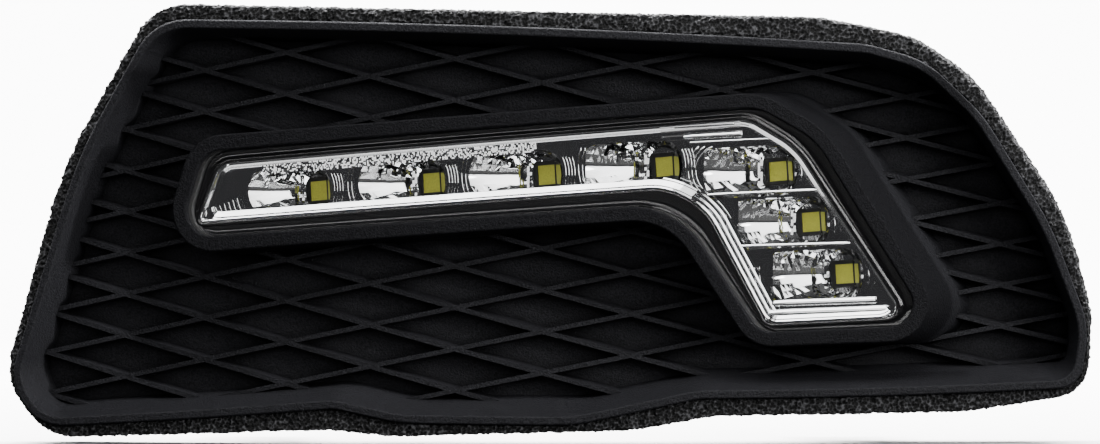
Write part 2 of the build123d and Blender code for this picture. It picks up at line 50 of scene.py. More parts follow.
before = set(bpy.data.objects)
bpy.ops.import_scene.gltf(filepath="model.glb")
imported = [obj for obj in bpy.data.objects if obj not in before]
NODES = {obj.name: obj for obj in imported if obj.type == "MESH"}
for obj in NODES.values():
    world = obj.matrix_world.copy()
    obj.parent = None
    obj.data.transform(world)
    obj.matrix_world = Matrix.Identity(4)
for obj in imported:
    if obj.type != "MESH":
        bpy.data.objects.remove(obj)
CAD_BOX = [list(corner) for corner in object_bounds()]

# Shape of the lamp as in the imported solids: radius and place of the face in metres, depths in millimetres
MM = 0.001
FACE_RADIUS = 0.9
FACE_Y = -0.052
LEAN = math.radians(33.0)
DRAW = Vector((math.sin(LEAN), math.cos(LEAN), 0.0))
ROW_TILT = math.radians(3.9)
PLATE_FRONT = 6.0
LED_DEPTH = 15.6

# Least share of a sheet's area that has to look back before the sheet is turned
SHEET_SHARE = 0.1

# Outlines as corners (x, z, rounding) in millimetres on the flat face plane, with arcs in steps of degrees
ARC_STEP = 5
LONGEST_EDGE = 4 * MM
LEAST_ROUNDING = 0.4
OPENING = [
    (-117.8, -5.0, 8), (36.5, 5.5, 24), (61.0, -33.2, 7), (109.5, -31.0, 7),
    (77.0, 24.8, 22), (60.5, 34.5, 14), (-109.1, 21.2, 9),
]
CHROME = [
    (-113.6, -0.4, 1.5), (40.2, 10.8, 20), (61.5, -30.8, 3), (101.5, -28.8, 4),
    (70.0, 22.5, 20), (56.0, 31.2, 8), (-106.5, 17.8, 6),
]

# Light sources as (x, z) in millimetres on the flat face plane, first those of the row and then the leg's
ROW_COUNT = 4
LEDS = [
    (-81.3, 9.5), (-45.3, 11.9), (-9.7, 14.3), (25.8, 16.8),
    (59.4, 15.4), (69.0, 0.0), (78.7, -15.8),
]

# Focus and half height of each bowl in millimetres
BOWLS = [
    (2.5, 6.6), (2.55, 6.9), (2.7, 7.1), (2.95, 7.5),
    (3.0, 7.6), (2.85, 7.6), (2.9, 7.6),
]

# Liner of a bowl: first and last ring from the source, gap to the solid, smooth middle band, and where its
# mouth lies along the plate from the source, in millimetres
BOWL_START = 0.2 * MM
BOWL_REACH = 20.5 * MM
BOWL_RINGS = 14
BOWL_GAP = 0.1 * MM
BAND_LOW = -2.8 * MM
BAND_HIGH = 2.6 * MM
MOUTH_MIDDLE = -4
MOUTH_HALF = 8

# Crescent beside a light source: its start, its greatest width and depth in millimetres, its share of the
# bowl's height, how far it thins at its tips, and its swell in the leg
CRESCENT_START = (3.95, -0.35)
CRESCENT_REACH = (3.4, -2.6)
CRESCENT_SHARE = 0.8
CRESCENT_TIP = 0.94
LEG_CRESCENT = 1.45

# Flutes as (sources, centre from the source, radii, half height, direction, share of the flute's radius),
# in millimetres and radians
FLUTES = (
    ((0, 1, 2, 3), (-3.2, 0.0), (14.4, 15.3, 16.2, 17.1), 5.4, 0.0, 1.0),
    ((1, 2, 3), (-4.0, 0.0), (15.4, 16.6), 5.6, math.pi, 1.0),
    ((4,), (-11.4, 0.0), (8.0, 9.1, 10.2), 7.4, math.pi, 1.0),
    ((4, 5, 6), (-0.6, -1.2), (12.0, 13.8), 3.0, -0.1, 1.2),
    ((5, 6), (-2.5, 1.0), (17.6, 19.0, 20.4), 3.4, math.pi - 0.12, 0.8),
    ((0,), (-5.0, 1.0), (15.6, 17.1, 18.6, 20.1, 21.6, 23.1), 2.2, math.pi - 0.36, 0.8),
)

# Leans in radians that send light from the front or from above to a viewer in front
FRONT_LEAN = 0.16
ABOVE_LEAN = 0.64

# Bars on the plate as (start, end, width, lean), with their depth and rounding as shares of the width
BARS = (
    ((34.1, 28.9), (51.6, 30.1), 1.7, FRONT_LEAN), ((36.8, 25.7), (53.6, 26.7), 1.7, ABOVE_LEAN),
    ((63.0, -24.6), (92.3, -23.6), 1.7, ABOVE_LEAN), ((61.6, -27.6), (96.0, -26.3), 1.9, ABOVE_LEAN),
    ((43.6, 8.2), (75.4, 9.7), 0.8, ABOVE_LEAN), ((53.1, -7.3), (84.9, -6.4), 0.8, ABOVE_LEAN),
    ((38.5, 24.0), (63.8, 25.3), 0.6, ABOVE_LEAN),
)
BAR_DEPTH = 0.9
BAR_ROUNDING = 0.14

# Fields of separate facets: chance of lean and turn in radians, then counts, size, place and slope of the
# strip under the top edge, and counts, size and offset of the ridge beside a light source
FACET_LEAN = 0.14
FACET_TURN = 0.3
STRIP_FACETS = (205, 7)
STRIP_SIZE = (86.0, 3.0)
STRIP_PLACE = (-50.0, PLATE_FRONT - 0.5, 19.15)
STRIP_SLOPE = 0.082
RIDGE_FACETS = (2, 9)
RIDGE_SIZE = (1.4, 8.4)
RIDGE_OFFSET = (-4.4, LED_DEPTH - 1.3, 0.3)

# Sections of rings that run inwards from an outline, as (distance, drop) in millimetres, with the depths and
# insets where they start
FRAME_OUTER = [(0.02, -1.2), (0.12, -0.12), (0.5, 0.0), (0.1, 0.12)]
FRAME_INNER = [(0.12, -0.16), (0.7, 0.0), (0.2, 0.14), (0.08, 1.5)]
EDGE_STEPS = [(0.12, -0.2), (0.2, 0.0), (0.1, 0.3), (0.12, 0.0), (0.3, 0.5), (0.1, 0.7)]
SHELF_STEPS = [(0.1, -0.1), (0.45, 0.33), (0.2, 0.0), (0.1, -0.25), (1.6, 1.18), (0.1, 0.5)]
LEG_STEPS = [(0.4, 0.3), (1.0, 0.0)] * 3 + [(0.1, 0.6)]
CROWN_STEPS = [(0.8, -0.13), (0.1, 0.15), (0.25, -0.04), (0.1, 1.0)]
FRAME_UNDER = 0.04
FRAME_OVER = 1.1
FRAME_RISE = 1.5
EDGE_DEPTH = 4.75
SHELF_DEPTH = 4.5
LEG_DEPTH = 4.8
CROWN_DEPTH = 5.6
SHELF_INSET = 0.5
CROWN_INSET = 0.9
SOFT_ROUNDING = 5

# Limits for the faces of those rings that stay: the upward or sideways part of their normals, and their place
SHELF_END_X = -0.1
SHELF_END_UP = 0.45
SHELF_UP = 0.2
SHELF_SIDE = 0.33
LEG_SIDE = 0.02
LEG_SPAN = (0.03, 0.065)
CROWN_UP = 0.03

# Dark bars round a light source as (left, right, bottom, top) in millimetres, with their depth and place
WINDOW_BARS = ((-4.3, -2.75, -4.2, 4.2), (-2.75, 3.5, 2.95, 4.2), (-2.75, 3.5, -4.2, -2.95))
WINDOW_DEPTH = 0.3
WINDOW_PLACE = -0.2

# Foam: voxels, level without displacement, depth of the torn outline and share of foam in its solid
FOAM_VOXEL = 0.0007
FOAM_MIDDLE = 0.62
FOAM_EDGE = 0.0008

# Foam: tones of the pores, with painted shade, and of the struts, with painted highlights, beside the foam's
# colour
PORE_SHADE_SHARE = 0.1
STRUT_HIGHLIGHT_SHARE = 22.0

# Collar round the lamp: ends of the ramps that mark it inwards, along the face and upwards, and the share of
# colour and shine left by its painted shade
COLLAR_BACK = (FACE_Y + 0.0105, FACE_Y + 0.012)
COLLAR_SIDE = (0.126, 0.13)
COLLAR_TOP = (0.045, 0.048)
COLLAR_SHADE_SHARE = 0.55

# Plastics: share of colour and shine that the painted shade leaves in a hollow, spread of the roughness and
# height of the grain
HOLLOW_SHADE_SHARE = 0.6
ROUGH_SPREAD = 0.08
GRAIN_HEIGHT = 0.0004

# Stage: floor and backdrop, the floor's share of colour in what the lamp mirrors, the room's light, the soft
# boxes as (name, place, aim, width, height, watts) and the spot on the left wall
FLOOR_GAP = 0.002
FLOOR_HALF = (2.0, 1.2)
FLOOR_MIDDLE_Y = 0.2
BACKDROP_HEIGHT = 2.2
SWEEP_RADIUS = 0.5
UNSEEN_SHARE = 0.02
ROOM_LIGHT = (0.03, 0.03, 0.032, 1.0)
SOFT_BOXES = (
    ("top_box", (0.0, -0.45, 0.95), (0.0, 0.0, 0.0), 1.3, 0.4, 12.0),
    ("front_box", (0.0, -1.35, 0.37), (0.0, 0.0, 0.0), 1.8, 0.35, 3.6),
    ("right_box", (1.07, -0.69, 0.42), (0.0, 0.0, 0.0), 0.75, 0.85, 10.0),
    ("corner_box", (0.48, -0.85, 0.75), (0.0, 0.0, 0.0), 0.45, 0.45, 1.6),
    ("back_light", (0.0, 0.35, 1.4), (0.0, 1.2, 0.2), 2.4, 0.6, 460.0),
)
SPOT_PLACE = (1.3, -0.45, 0.12)
SPOT_AIM = (-0.15, -0.04, -0.01)
SPOT_ANGLE = math.radians(5.6)
SPOT_WATTS = 90.0
SPOT_BLEND = 0.7
SPOT_RADIUS = 0.08


class InsertSettings(bpy.types.PropertyGroup):
    """Finish of the grille insert."""

    colour: FloatVectorProperty(
        name="Colour", description="Colour of the moulded insert",
        subtype="COLOR", size=4, min=0.0, max=1.0, default=(0.0115, 0.0115, 0.0132, 1.0))
    grain: FloatProperty(
        name="Grain", description="Size of the moulded grain",
        subtype="DISTANCE", unit="LENGTH", default=0.0006, min=0.0001, max=0.005)


class FoamSettings(bpy.types.PropertyGroup):
    """Shape and finish of the foam strip."""

    colour: FloatVectorProperty(
        name="Colour", description="Colour of the foam",
        subtype="COLOR", size=4, min=0.0, max=1.0, default=(0.0045, 0.0045, 0.0048, 1.0))
    cell: FloatProperty(
        name="Cell", description="Size of the foam's open cells",
        subtype="DISTANCE", unit="LENGTH", default=0.0009, min=0.0003, max=0.006)
    depth: FloatProperty(
        name="Depth", description="Depth of the open cells",
        subtype="DISTANCE", unit="LENGTH", default=0.0013, min=0.0, max=0.004)


class LampSettings(bpy.types.PropertyGroup):
    """Shape and finish of the lamp."""

    chrome: FloatVectorProperty(
        name="Chrome", description="Colour of the bright reflector",
        subtype="COLOR", size=4, min=0.0, max=1.0, default=(0.88, 0.885, 0.89, 1.0))
    phosphor: FloatVectorProperty(
        name="Phosphor", description="Colour of the light sources",
        subtype="COLOR", size=4, min=0.0, max=1.0, default=(0.54, 0.54, 0.06, 1.0))
    facet: FloatProperty(
        name="Facet depth", description="Depth of the facets in the bowls",
        subtype="DISTANCE", unit="LENGTH", default=0.00022, min=0.0, max=0.002)
    flute: FloatProperty(
        name="Flute radius", description="Radius of the flutes between the bowls",
        subtype="DISTANCE", unit="LENGTH", default=0.0002, min=0.0001, max=0.002)
    turns: IntProperty(
        name="Bowl steps", description="Steps round each bowl", default=40, min=12, max=96)


class StageSettings(bpy.types.PropertyGroup):
    """Camera, lights and floor."""

    distance: FloatProperty(
        name="Distance", description="From the camera to the lamp's face",
        subtype="DISTANCE", unit="LENGTH", default=1.0, min=0.2, max=10.0)
    width: FloatProperty(
        name="Width", description="Width of the view at the lamp's face",
        subtype="DISTANCE", unit="LENGTH", default=0.33, min=0.05, max=5.0)
    floor: FloatVectorProperty(
        name="Floor", description="Colour of floor and backdrop",
        subtype="COLOR", size=4, min=0.0, max=1.0, default=(0.9, 0.9, 0.9, 1.0))


def lamp_point(x, z, depth):
    """Finds the point at a depth along the lamp's axis behind a spot of the flat face plane."""
    base = FACE_RADIUS * DRAW.y - x * DRAW.x
    run = base - math.sqrt(base * base - x * x) + depth
    return Vector((x + run * DRAW.x, run * DRAW.y + FACE_Y, z))


def to_lamp(bm):
    """Bends a flat layout (x, depth, z) onto the lamp's bowed face along its axis."""
    for vert in bm.verts:
        vert.co = lamp_point(vert.co.x, vert.co.z, vert.co.y)


def led_frame(index):
    """Gives the place of one light source, with Y along the lamp's axis and X along the row."""
    x, z = LEDS[index]
    place = Matrix.Translation(lamp_point(x * MM, z * MM, LED_DEPTH * MM))
    return place @ Matrix.Rotation(-LEAN, 4, "Z") @ Matrix.Rotation(-ROW_TILT, 4, "Y")


def face_forward(bm):
    """Turns every open sheet of a bmesh towards the front and leaves the closed ones as they are."""
    left = set(bm.faces)
    while left:
        sheet = [left.pop()]
        for face in sheet:
            near = {other for edge in face.edges for other in edge.link_faces} & left
            left -= near
            sheet.extend(near)
        area = sum(face.calc_area() for face in sheet)
        facing = sum(face.normal.y * face.calc_area() for face in sheet)
        if facing > SHEET_SHARE * area:
            bmesh.ops.reverse_faces(bm, faces=sheet)


def finish_piece(name, bm, material, smooth=True):
    """Makes an object of a bmesh and lets it ride on the lamp."""
    bmesh.ops.recalc_face_normals(bm, faces=bm.faces)
    face_forward(bm)
    mesh = bpy.data.meshes.new(name)
    bm.to_mesh(mesh)
    bm.free()
    if smooth:
        mesh.shade_smooth()
    mesh.materials.append(material)
    piece = bpy.data.objects.new(name, mesh)
    bpy.context.scene.collection.objects.link(piece)
    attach(piece, "root")
    return piece


def join(whole, bm):
    """Adds one bmesh to another and frees it."""
    part = bpy.data.meshes.new("part")
    bm.to_mesh(part)
    bm.free()
    whole.from_mesh(part)
    bpy.data.meshes.remove(part)


def dress(node, material):
    """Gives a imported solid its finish."""
    mesh = NODES[node].data
    mesh.materials.clear()
    mesh.materials.append(material)


def outline_face(bm, corners, depth):
    """Makes a flat face of a rounded outline at one depth, with short edges."""
    count = len(corners)
    others = set(bm.faces)
    verts = [bm.verts.new((x * MM, depth * MM, z * MM)) for x, z, rounding in corners]
    bm.faces.new(verts)
    places = [Vector((x, z)) for x, z, rounding in corners]
    for index, vert in enumerate(verts):
        into = (places[index] - places[index - 1]).normalized()
        away = (places[(index + 1) % count] - places[index]).normalized()
        turn = into.angle(away)
        bmesh.ops.bevel(
            bm, geom=[vert], offset=corners[index][2] * math.tan(turn / 2) * MM, offset_type="OFFSET",
            segments=max(3, int(math.degrees(turn) / ARC_STEP)), profile=0.5, affect="VERTICES", material=-1)
    face = next(item for item in bm.faces if item not in others)
    for edge in face.edges[:]:
        cuts = int(edge.calc_length() / LONGEST_EDGE)
        if cuts:
            bmesh.ops.subdivide_edges(bm, edges=[edge], cuts=cuts)
    return face


def grown(corners, distance):
    """Moves every side of a rounded outline outwards by a distance."""
    result = []
    count = len(corners)
    for index, (x, z, rounding) in enumerate(corners):
        before = corners[index - 1]
        after = corners[(index + 1) % count]
        into = Vector((x - before[0], z - before[1])).normalized()
        away = Vector((after[0] - x, after[1] - z)).normalized()
        outward = Vector((into.y + away.y, -into.x - away.x)) * (distance / (1 + into.dot(away)))
        grow = distance if into.cross(away) > 0 else -distance
        result.append((x + outward.x, z + outward.y, max(rounding + grow, LEAST_ROUNDING)))
    return result


def stepped_ring(bm, corners, depth, steps):
    """Runs a stepped section inwards from an outline and returns its outer and inner edge loops."""
    others = set(bm.edges)
    face = outline_face(bm, corners, depth)
    for distance, drop in steps:
        bmesh.ops.inset_region(
            bm, faces=[face], thickness=distance * MM, depth=-drop * MM,
            use_even_offset=True, use_boundary=True)
    inner = face.edges[:]
    bmesh.ops.delete(bm, geom=[face], context="FACES_ONLY")
    known = others | set(inner)
    outer = [edge for edge in bm.edges if edge.is_boundary and edge not in known]
    return outer, inner


def front_ring(corners, depth, steps):
    """Makes a stepped ring in a bmesh of its own with its faces to the front."""
    bm = bmesh.new()
    stepped_ring(bm, corners, depth, steps)
    bmesh.ops.recalc_face_normals(bm, faces=bm.faces)
    if bm.faces[:][0].normal.y > 0:
        bmesh.ops.reverse_faces(bm, faces=bm.faces)
    return bm


def mosaic(bm, chance, columns, rows, width, height, lean):
    """Makes an upright field of small separate facets that lean back at their tops by chance."""
    bmesh.ops.create_grid(bm, x_segments=columns, y_segments=rows, size=0.5)
    bmesh.ops.scale(bm, vec=(width * MM, height * MM, 1.0), verts=bm.verts)
    bmesh.ops.rotate(bm, verts=bm.verts, cent=(0, 0, 0), matrix=Matrix.Rotation(math.pi / 2, 3, "X"))
    bmesh.ops.split_edges(bm, edges=bm.edges)
    for face in bm.faces[:]:
        back = Matrix.Rotation(-chance.uniform(lean - FACET_LEAN, lean + FACET_LEAN), 3, "X")
        turn = Matrix.Rotation(chance.uniform(-FACET_TURN, FACET_TURN), 3, "Z")
        bmesh.ops.rotate(bm, verts=face.verts[:], cent=face.calc_center_median(), matrix=turn @ back)


def new_material(name):
    """Starts a node material and returns it with its tree and its Principled shader."""
    material = bpy.data.materials.new(name)
    material.use_nodes = True
    tree = material.node_tree
    return material, tree, tree.nodes["Principled BSDF"]


def add_node(tree, kind, **inputs):
    """Adds a node and sets its inputs by name."""
    node = tree.nodes.new(kind)
    for name, value in inputs.items():
        node.inputs[name.replace("_", " ")].default_value = value
    return node


def object_coords(tree):
    """Gives the object coordinates."""
    return tree.nodes.new("ShaderNodeTexCoord").outputs["Object"]


def grain_group():
    """Builds the height of the moulded grain that the plastics share."""
    name = "Moulded Grain"
    if name in bpy.data.node_groups:
        return bpy.data.node_groups[name]
    group = bpy.data.node_groups.new(name, "ShaderNodeTree")
    for label, kind, start in (("Vector", "NodeSocketVector", None), ("Scale", "NodeSocketFloat", 1500.0)):
        socket = group.interface.new_socket(label, in_out="INPUT", socket_type=kind)
        if start is not None:
            socket.default_value = start
    group.interface.new_socket("Height", in_out="OUTPUT", socket_type="NodeSocketFloat")
    source = group.nodes.new("NodeGroupInput")
    result = group.nodes.new("NodeGroupOutput")
    fine = add_node(group, "ShaderNodeTexNoise", Detail=3.0, Roughness=0.6)
    group.links.new(source.outputs["Vector"], fine.inputs["Vector"])
    group.links.new(source.outputs["Scale"], fine.inputs["Scale"])
    group.links.new(fine.outputs["Fac"], result.inputs["Height"])
    return group


def grained_plastic(name, colour, scale, roughness, lift=1.6, bump=0.25, specular=0.5, painted_shade_reach=0.0):
    """Makes a moulded plastic whose grain lifts its colour, with painted shade from ambient occlusion in
    hollows of a given size.
    """
    material, tree, shader = new_material(name)
    grain = tree.nodes.new("ShaderNodeGroup")
    grain.node_tree = grain_group()
    grain.inputs["Scale"].default_value = scale
    tree.links.new(object_coords(tree), grain.inputs["Vector"])
    tone = tree.nodes.new("ShaderNodeMix")
    tone.data_type = "RGBA"
    tone.inputs["A"].default_value = colour
    tone.inputs["B"].default_value = [min(1.0, part * lift) for part in colour[:3]] + [1.0]
    contrast = add_node(tree, "ShaderNodeMapRange", From_Min=0.35, From_Max=0.65)
    tree.links.new(grain.outputs["Height"], contrast.inputs["Value"])
    tree.links.new(contrast.outputs["Result"], tone.inputs["Factor"])
    shader.inputs["Specular IOR Level"].default_value = specular
    # Painted shade: ambient occlusion lowers the colour and the shine in the hollows
    if painted_shade_reach:
        hollow = add_node(tree, "ShaderNodeAmbientOcclusion", Distance=painted_shade_reach)
        hollow.samples = 6
        open_part = add_node(tree, "ShaderNodeMapRange", From_Min=0.35, From_Max=0.95)
        tree.links.new(hollow.outputs["AO"], open_part.inputs["Value"])
        shade = tree.nodes.new("ShaderNodeMix")
        shade.data_type = "RGBA"
        shade.inputs["A"].default_value = [part * HOLLOW_SHADE_SHARE for part in colour[:3]] + [1.0]
        tree.links.new(open_part.outputs["Result"], shade.inputs["Factor"])
        tree.links.new(tone.outputs["Result"], shade.inputs["B"])
        tree.links.new(shade.outputs["Result"], shader.inputs["Base Color"])
        shine = add_node(tree, "ShaderNodeMapRange", To_Min=specular * HOLLOW_SHADE_SHARE, To_Max=specular)
        tree.links.new(open_part.outputs["Result"], shine.inputs["Value"])
        tree.links.new(shine.outputs["Result"], shader.inputs["Specular IOR Level"])
    else:
        tree.links.new(tone.outputs["Result"], shader.inputs["Base Color"])
    rough = add_node(
        tree, "ShaderNodeMapRange", To_Min=roughness - ROUGH_SPREAD, To_Max=roughness + ROUGH_SPREAD)
    tree.links.new(grain.outputs["Height"], rough.inputs["Value"])
    tree.links.new(rough.outputs["Result"], shader.inputs["Roughness"])
    relief = add_node(tree, "ShaderNodeBump", Strength=bump, Distance=GRAIN_HEIGHT)
    tree.links.new(grain.outputs["Height"], relief.inputs["Height"])
    tree.links.new(relief.outputs["Normal"], shader.inputs["Normal"])
    return material


def within(tree, value, start, end):
    """Gives one below a start, zero beyond an end, and a ramp between them."""
    ramp = add_node(tree, "ShaderNodeMapRange", From_Min=start, From_Max=end, To_Min=1.0, To_Max=0.0)
    tree.links.new(value, ramp.inputs["Value"])
    return ramp.outputs["Result"]


def maths(tree, operation, *values):
    """Adds a math node with links or plain numbers as its inputs."""
    node = tree.nodes.new("ShaderNodeMath")
    node.operation = operation
    for socket, value in zip(node.inputs, values):
        if isinstance(value, float):
            socket.default_value = value
        else:
            tree.links.new(value, socket)
    return node.outputs["Value"]


def collar_shade_mask(tree):
    """Gives one on the collar that stands up from the ribs round the lamp, where painted shade goes, and zero
    elsewhere.
    """
    parts = tree.nodes.new("ShaderNodeSeparateXYZ")
    tree.links.new(object_coords(tree), parts.inputs["Vector"])
    along, inward, up = (parts.outputs[axis] for axis in "XYZ")
    bow = maths(tree, "MULTIPLY", maths(tree, "MULTIPLY", along, along), -0.5 / FACE_RADIUS)
    depth = within(tree, maths(tree, "ADD", inward, bow), *COLLAR_BACK)
    wide = within(tree, maths(tree, "ABSOLUTE", along), *COLLAR_SIDE)
    high = within(tree, maths(tree, "ABSOLUTE", up), *COLLAR_TOP)
    return maths(tree, "MULTIPLY", depth, maths(tree, "MULTIPLY", wide, high))


def paint_collar_shade(material, share):
    """Paints shade on the collar by lowering the colour and the shine of a finish there."""
    tree = material.node_tree
    shader = tree.nodes["Principled BSDF"]
    mask = collar_shade_mask(tree)
    dimmed = tree.nodes.new("ShaderNodeMix")
    dimmed.data_type = "RGBA"
    dimmed.blend_type = "MULTIPLY"
    dimmed.inputs["B"].default_value = (share, share, share, 1.0)
    tree.links.new(mask, dimmed.inputs["Factor"])
    tree.links.new(shader.inputs["Base Color"].links[0].from_socket, dimmed.inputs["A"])
    tree.links.new(dimmed.outputs["Result"], shader.inputs["Base Color"])
    shine = add_node(tree, "ShaderNodeMapRange", To_Min=1.0, To_Max=share)
    tree.links.new(mask, shine.inputs["Value"])
    whole = shader.inputs["Specular IOR Level"].links[0].from_socket
    lowered = maths(tree, "MULTIPLY", whole, shine.outputs["Result"])
    tree.links.new(lowered, shader.inputs["Specular IOR Level"])


def plain_gloss(name, colour, roughness, metallic=0.0, coat=0.0):
    """Makes a smooth finish with a faint roughness mottle."""
    material, tree, shader = new_material(name)
    shader.inputs["Base Color"].default_value = colour
    shader.inputs["Metallic"].default_value = metallic
    shader.inputs["Coat Weight"].default_value = coat
    shader.inputs["Coat Roughness"].default_value = 0.03
    noise = add_node(tree, "ShaderNodeTexNoise", Scale=300.0, Detail=2.0)
    tree.links.new(object_coords(tree), noise.inputs["Vector"])
    rough = add_node(tree, "ShaderNodeMapRange", To_Min=roughness * 0.8, To_Max=roughness * 1.25)
    tree.links.new(noise.outputs["Fac"], rough.inputs["Value"])
    tree.links.new(rough.outputs["Result"], shader.inputs["Roughness"])
    return material


def clear_lens():
    """Makes the clear cover, which lets the light through to the reflector."""
    material, tree, shader = new_material("lens_clear")
    shader.inputs["Base Color"].default_value = (1.0, 1.0, 1.0, 1.0)
    shader.inputs["Roughness"].default_value = 0.0
    shader.inputs["IOR"].default_value = 1.45
    shader.inputs["Transmission Weight"].default_value = 1.0
    through = tree.nodes.new("ShaderNodeBsdfTransparent")
    path = tree.nodes.new("ShaderNodeLightPath")
    blend = tree.nodes.new("ShaderNodeMixShader")
    tree.links.new(path.outputs["Is Shadow Ray"], blend.inputs["Fac"])
    tree.links.new(shader.outputs["BSDF"], blend.inputs[1])
    tree.links.new(through.outputs["BSDF"], blend.inputs[2])
    tree.links.new(blend.outputs["Shader"], tree.nodes["Material Output"].inputs["Surface"])
    return material


def foam_finish(colour, cell):
    """Makes the open-cell foam: its own cells, with painted shade in the pores and painted highlights on the
    struts.
    """
    material, tree, shader = new_material("foam_black")
    coords = object_coords(tree)
    cells = add_node(tree, "ShaderNodeTexVoronoi", Scale=1.0 / cell)
    tree.links.new(coords, cells.inputs["Vector"])
    ramp = add_node(tree, "ShaderNodeMapRange", From_Min=0.5, From_Max=0.95)
    tree.links.new(cells.outputs["Distance"], ramp.inputs["Value"])
    # Painted shade in the pores and painted highlights on the struts of the foam's own cells
    tone = tree.nodes.new("ShaderNodeMix")
    tone.data_type = "RGBA"
    tone.inputs["A"].default_value = [part * PORE_SHADE_SHARE for part in colour[:3]] + [1.0]
    tone.inputs["B"].default_value = [part * STRUT_HIGHLIGHT_SHARE for part in colour[:3]] + [1.0]
    tree.links.new(ramp.outputs["Result"], tone.inputs["Factor"])
    tree.links.new(tone.outputs["Result"], shader.inputs["Base Color"])
    shader.inputs["Roughness"].default_value = 0.9
    relief = add_node(tree, "ShaderNodeBump", Strength=0.7, Distance=GRAIN_HEIGHT)
    tree.links.new(cells.outputs["Distance"], relief.inputs["Height"])
    tree.links.new(relief.outputs["Normal"], shader.inputs["Normal"])
    return material


class RUNNINGLIGHT_OT_insert(bpy.types.Operator):
    """Dress the grille insert"""

    bl_idname = "running_light.insert"
    bl_label = "Grille Insert"

    def execute(self, context):
        settings = context.scene.running_light_insert
        # The insert's hollows get painted shade from ambient occlusion within 4 mm
        plastic = grained_plastic(
            "insert_black", settings.colour[:], 1 / settings.grain, 0.5,
            lift=2.6, bump=1.0, specular=0.12, painted_shade_reach=0.004)
        # Painted shade: the collar's colour and shine are lowered below the rest of the insert
        paint_collar_shade(plastic, COLLAR_SHADE_SHARE)
        dress("grille_insert", plastic)
        return {"FINISHED"}


class RUNNINGLIGHT_OT_foam(bpy.types.Operator):
    """Make the foam strip round the rim"""

    bl_idname = "running_light.foam"
    bl_label = "Foam Strip"

    def execute(self, context):
        settings = context.scene.running_light_foam
        bm = bmesh.new()
        bm.from_mesh(NODES["foam_seal"].data)
        bmesh.ops.remove_doubles(bm, verts=bm.verts, dist=0.00001)
        material = foam_finish(settings.colour[:], settings.cell)
        foam = finish_piece("foam_strip", bm, material)
        remesh = foam.modifiers.new("Voxels", "REMESH")
        remesh.mode = "VOXEL"
        remesh.voxel_size = FOAM_VOXEL
        layers = (("Cells", settings.cell, settings.depth), ("Edge", settings.cell * 3, FOAM_EDGE))
        for label, size, depth in layers:
            texture = bpy.data.textures.new("foam " + label, "CLOUDS")
            texture.noise_scale = size
            texture.noise_depth = 1
            push = foam.modifiers.new(label, "DISPLACE")
            push.texture = texture
            push.texture_coords = "LOCAL"
            push.mid_level = FOAM_MIDDLE
            push.strength = depth
        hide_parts("foam_seal")
        return {"FINISHED"}


class RUNNINGLIGHT_OT_lens(bpy.types.Operator):
    """Dress the clear lens and its bead"""

    bl_idname = "running_light.lens"
    bl_label = "Lens"

    def execute(self, context):
        dress("lens", clear_lens())
        dress("lens_seal", grained_plastic("seal_black", (0.02, 0.02, 0.02, 1.0), 900.0, 0.6))
        return {"FINISHED"}


class RUNNINGLIGHT_OT_bezel(bpy.types.Operator):
    """Make the gloss stepped frame behind the lens"""

    bl_idname = "running_light.bezel"
    bl_label = "Gloss Frame"

    def execute(self, context):
        gloss = plain_gloss("frame_gloss", (0.004, 0.004, 0.0045, 1.0), 0.05, coat=1.0)
        bm = bmesh.new()
        outer = stepped_ring(bm, grown(OPENING, FRAME_UNDER), PLATE_FRONT, FRAME_OUTER)[1]
        inner = stepped_ring(bm, grown(CHROME, FRAME_OVER), PLATE_FRONT - FRAME_RISE, FRAME_INNER)[0]
        bmesh.ops.bridge_loops(bm, edges=outer + inner)
        to_lamp(bm)
        piece = finish_piece("gloss_frame", bm, gloss)
        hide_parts("inner_frame")
        return {"FINISHED"}


